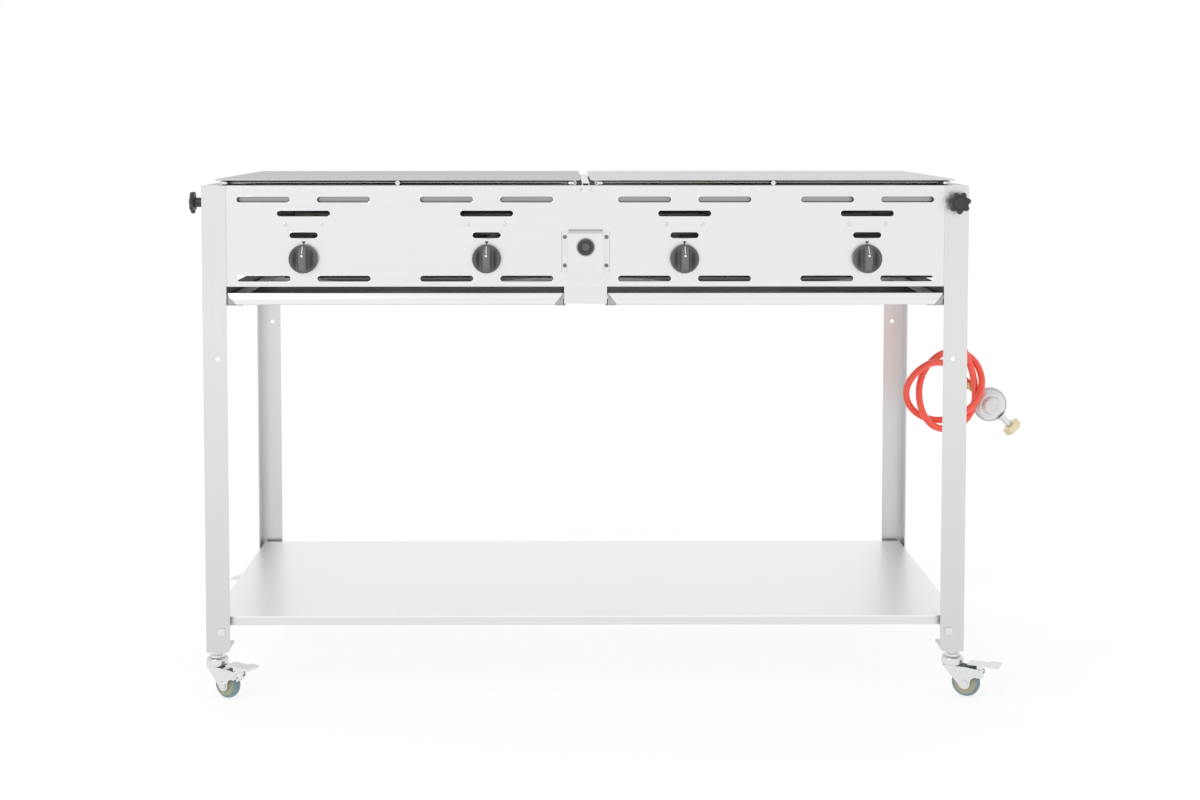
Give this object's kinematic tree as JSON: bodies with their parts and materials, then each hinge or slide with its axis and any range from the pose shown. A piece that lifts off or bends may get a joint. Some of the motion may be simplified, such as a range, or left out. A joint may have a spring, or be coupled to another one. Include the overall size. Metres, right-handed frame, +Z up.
{
  "type": "gas barbecue trolley",
  "caption": "Stainless catering barbecue on a wheeled trolley with covered wire grates, gas burners, drip trays, a bottom shelf and a hose with regulator.",
  "frame": {"origin": "on the floor, under the middle of the frame", "axes": "+X to the user's right along the front, -Y towards the user and the gas knobs, +Z up"},
  "size_m": [1.5869, 0.6728, 0.92],
  "materials": {
    "satin_steel": "brushed satin stainless sheet",
    "burner_steel": "bright drawn stainless tube",
    "zinc": "bright zinc plate",
    "chrome_wire": "chromed wire",
    "wheel_rubber": "grey-blue rounded tyre on a plastic hub",
    "knob_plastic": "dark grey moulded",
    "clamp_plastic": "black moulded",
    "brass": "machined brass",
    "ceramic": "glazed white ceramic",
    "hose_rubber": "smooth orange-red rubber",
    "cast_zinc": "silver-grey casting"
  },
  "bodies": {
    "root": {"leg_front_left": "satin_steel", "leg_front_right": "satin_steel", "leg_rear_left": "satin_steel", "leg_rear_right": "satin_steel", "bottom_shelf": "satin_steel", "shelf_brackets": "satin_steel", "front_panel": "satin_steel", "rear_panel": "satin_steel", "side_panel_left": "satin_steel", "side_panel_right": "satin_steel", "rear_deck": "satin_steel", "centre_divider": "satin_steel", "centre_cover": "satin_steel", "tray_rails": "satin_steel", "burner_rails": "satin_steel", "igniter_housing": "satin_steel", "burners": "burner_steel", "castor_stems": "zinc", "clamp_nuts": "zinc", "shelf_bolts": "zinc", "panel_screws": "zinc", "gas_manifold": "zinc", "igniter_body": "knob_plastic", "gas_valves": "brass", "gas_inlet": "brass", "bottle_nut": "brass", "spark_electrodes": "ceramic", "gas_hose": "hose_rubber", "regulator": "cast_zinc"},
    "valve_stem_1": {"valve_stem_1": "brass"},
    "gas_knob_1": {"gas_knob_1": "knob_plastic"},
    "valve_stem_2": {"valve_stem_2": "brass"},
    "gas_knob_2": {"gas_knob_2": "knob_plastic"},
    "valve_stem_3": {"valve_stem_3": "brass"},
    "gas_knob_3": {"gas_knob_3": "knob_plastic"},
    "valve_stem_4": {"valve_stem_4": "brass"},
    "gas_knob_4": {"gas_knob_4": "knob_plastic"},
    "igniter_button": {"igniter_button": "knob_plastic"},
    "clamp_knob_front_left": {"clamp_knob_front_left": "clamp_plastic"},
    "clamp_knob_front_right": {"clamp_knob_front_right": "clamp_plastic"},
    "clamp_knob_rear_left": {"clamp_knob_rear_left": "clamp_plastic"},
    "clamp_knob_rear_right": {"clamp_knob_rear_right": "clamp_plastic"},
    "grate_left": {"grate_left": "chrome_wire"},
    "lid_left": {"lid_left": "satin_steel"},
    "drip_tray_left": {"drip_tray_left": "satin_steel"},
    "grate_right": {"grate_right": "chrome_wire"},
    "lid_right": {"lid_right": "satin_steel"},
    "drip_tray_right": {"drip_tray_right": "satin_steel"},
    "castor_fork_front_left": {"castor_fork_front_left": "zinc"},
    "castor_wheel_front_left": {"castor_wheel_front_left": "wheel_rubber"},
    "brake_pedal_front_left": {"brake_pedal_front_left": "zinc"},
    "castor_fork_front_right": {"castor_fork_front_right": "zinc"},
    "castor_wheel_front_right": {"castor_wheel_front_right": "wheel_rubber"},
    "brake_pedal_front_right": {"brake_pedal_front_right": "zinc"},
    "castor_fork_rear_left": {"castor_fork_rear_left": "zinc"},
    "castor_wheel_rear_left": {"castor_wheel_rear_left": "wheel_rubber"},
    "brake_pedal_rear_left": {"brake_pedal_rear_left": "zinc"},
    "castor_fork_rear_right": {"castor_fork_rear_right": "zinc"},
    "castor_wheel_rear_right": {"castor_wheel_rear_right": "wheel_rubber"},
    "brake_pedal_rear_right": {"brake_pedal_rear_right": "zinc"}
  },
  "joints": [
    {"name": "valve_push_1", "type": "slide", "parent": "root", "child": "valve_stem_1", "axis": [0, 1, 0], "range_m": [0, 0.0025], "stiffness_N_per_m": 1500, "springref_m": -0.004},
    {"name": "knob_turn_1", "type": "hinge", "parent": "valve_stem_1", "child": "gas_knob_1", "pos_m": [-0.4925, -0.3145, 0.781], "axis": [0, -1, 0], "range_deg": [0, 200]},
    {"name": "valve_push_2", "type": "slide", "parent": "root", "child": "valve_stem_2", "axis": [0, 1, 0], "range_m": [0, 0.0025], "stiffness_N_per_m": 1500, "springref_m": -0.004},
    {"name": "knob_turn_2", "type": "hinge", "parent": "valve_stem_2", "child": "gas_knob_2", "pos_m": [-0.173, -0.3145, 0.781], "axis": [0, -1, 0], "range_deg": [0, 200]},
    {"name": "valve_push_3", "type": "slide", "parent": "root", "child": "valve_stem_3", "axis": [0, 1, 0], "range_m": [0, 0.0025], "stiffness_N_per_m": 1500, "springref_m": -0.004},
    {"name": "knob_turn_3", "type": "hinge", "parent": "valve_stem_3", "child": "gas_knob_3", "pos_m": [0.173, -0.3145, 0.781], "axis": [0, -1, 0], "range_deg": [0, 200]},
    {"name": "valve_push_4", "type": "slide", "parent": "root", "child": "valve_stem_4", "axis": [0, 1, 0], "range_m": [0, 0.0025], "stiffness_N_per_m": 1500, "springref_m": -0.004},
    {"name": "knob_turn_4", "type": "hinge", "parent": "valve_stem_4", "child": "gas_knob_4", "pos_m": [0.4925, -0.3145, 0.781], "axis": [0, -1, 0], "range_deg": [0, 200]},
    {"name": "igniter_push", "type": "slide", "parent": "root", "child": "igniter_button", "axis": [0, 1, 0], "range_m": [0, 0.006], "stiffness_N_per_m": 1500, "springref_m": -0.004},
    {"name": "clamp_turn_front_left", "type": "hinge", "parent": "root", "child": "clamp_knob_front_left", "pos_m": [-0.681, -0.28, 0.879], "axis": [-1, 0, 0], "continuous": true},
    {"name": "clamp_turn_front_right", "type": "hinge", "parent": "root", "child": "clamp_knob_front_right", "pos_m": [0.65, -0.311, 0.879], "axis": [0, -1, 0], "continuous": true},
    {"name": "clamp_turn_rear_left", "type": "hinge", "parent": "root", "child": "clamp_knob_rear_left", "pos_m": [-0.65, 0.311, 0.879], "axis": [0, 1, 0], "continuous": true},
    {"name": "clamp_turn_rear_right", "type": "hinge", "parent": "root", "child": "clamp_knob_rear_right", "pos_m": [0.681, 0.28, 0.879], "axis": [1, 0, 0], "continuous": true},
    {"name": "grate_lift_left", "type": "slide", "parent": "root", "child": "grate_left", "axis": [0, 0, 1], "range_m": [0, 0.25]},
    {"name": "lid_lift_left", "type": "slide", "parent": "grate_left", "child": "lid_left", "axis": [0, 0, 1], "range_m": [0, 0.3]},
    {"name": "tray_slide_left", "type": "slide", "parent": "root", "child": "drip_tray_left", "axis": [0, -1, 0], "range_m": [0, 0.42]},
    {"name": "grate_lift_right", "type": "slide", "parent": "root", "child": "grate_right", "axis": [0, 0, 1], "range_m": [0, 0.25]},
    {"name": "lid_lift_right", "type": "slide", "parent": "grate_right", "child": "lid_right", "axis": [0, 0, 1], "range_m": [0, 0.3]},
    {"name": "tray_slide_right", "type": "slide", "parent": "root", "child": "drip_tray_right", "axis": [0, -1, 0], "range_m": [0, 0.42]},
    {"name": "castor_swivel_front_left", "type": "hinge", "parent": "root", "child": "castor_fork_front_left", "pos_m": [-0.655, -0.277, 0.062], "axis": [0, 0, 1], "continuous": true},
    {"name": "wheel_roll_front_left", "type": "hinge", "parent": "castor_fork_front_left", "child": "castor_wheel_front_left", "pos_m": [-0.63403, -0.29062, 0.025], "axis": [0.5446, 0.8387, 0], "continuous": true},
    {"name": "brake_press_front_left", "type": "hinge", "parent": "castor_fork_front_left", "child": "brake_pedal_front_left", "pos_m": [-0.6134, -0.30401, 0.0455], "axis": [0.5446, 0.8387, 0], "range_deg": [0, 14]},
    {"name": "castor_swivel_front_right", "type": "hinge", "parent": "root", "child": "castor_fork_front_right", "pos_m": [0.655, -0.277, 0.062], "axis": [0, 0, 1], "continuous": true},
    {"name": "wheel_roll_front_right", "type": "hinge", "parent": "castor_fork_front_right", "child": "castor_wheel_front_right", "pos_m": [0.67727, -0.28835, 0.025], "axis": [0.454, 0.891, 0], "continuous": true},
    {"name": "brake_press_front_right", "type": "hinge", "parent": "castor_fork_front_right", "child": "brake_pedal_front_right", "pos_m": [0.69919, -0.29952, 0.0455], "axis": [0.454, 0.891, 0], "range_deg": [0, 14]},
    {"name": "castor_swivel_rear_left", "type": "hinge", "parent": "root", "child": "castor_fork_rear_left", "pos_m": [-0.655, 0.277, 0.062], "axis": [0, 0, 1], "continuous": true},
    {"name": "wheel_roll_rear_left", "type": "hinge", "parent": "castor_fork_rear_left", "child": "castor_wheel_rear_left", "pos_m": [-0.67727, 0.28835, 0.025], "axis": [-0.454, -0.891, 0], "continuous": true},
    {"name": "brake_press_rear_left", "type": "hinge", "parent": "castor_fork_rear_left", "child": "brake_pedal_rear_left", "pos_m": [-0.69919, 0.29952, 0.0455], "axis": [-0.454, -0.891, 0], "range_deg": [0, 14]},
    {"name": "castor_swivel_rear_right", "type": "hinge", "parent": "root", "child": "castor_fork_rear_right", "pos_m": [0.655, 0.277, 0.062], "axis": [0, 0, 1], "continuous": true},
    {"name": "wheel_roll_rear_right", "type": "hinge", "parent": "castor_fork_rear_right", "child": "castor_wheel_rear_right", "pos_m": [0.63403, 0.29062, 0.025], "axis": [-0.5446, -0.8387, 0], "continuous": true},
    {"name": "brake_press_rear_right", "type": "hinge", "parent": "castor_fork_rear_right", "child": "brake_pedal_rear_right", "pos_m": [0.6134, 0.30401, 0.0455], "axis": [-0.5446, -0.8387, 0], "range_deg": [0, 14]}
  ]
}
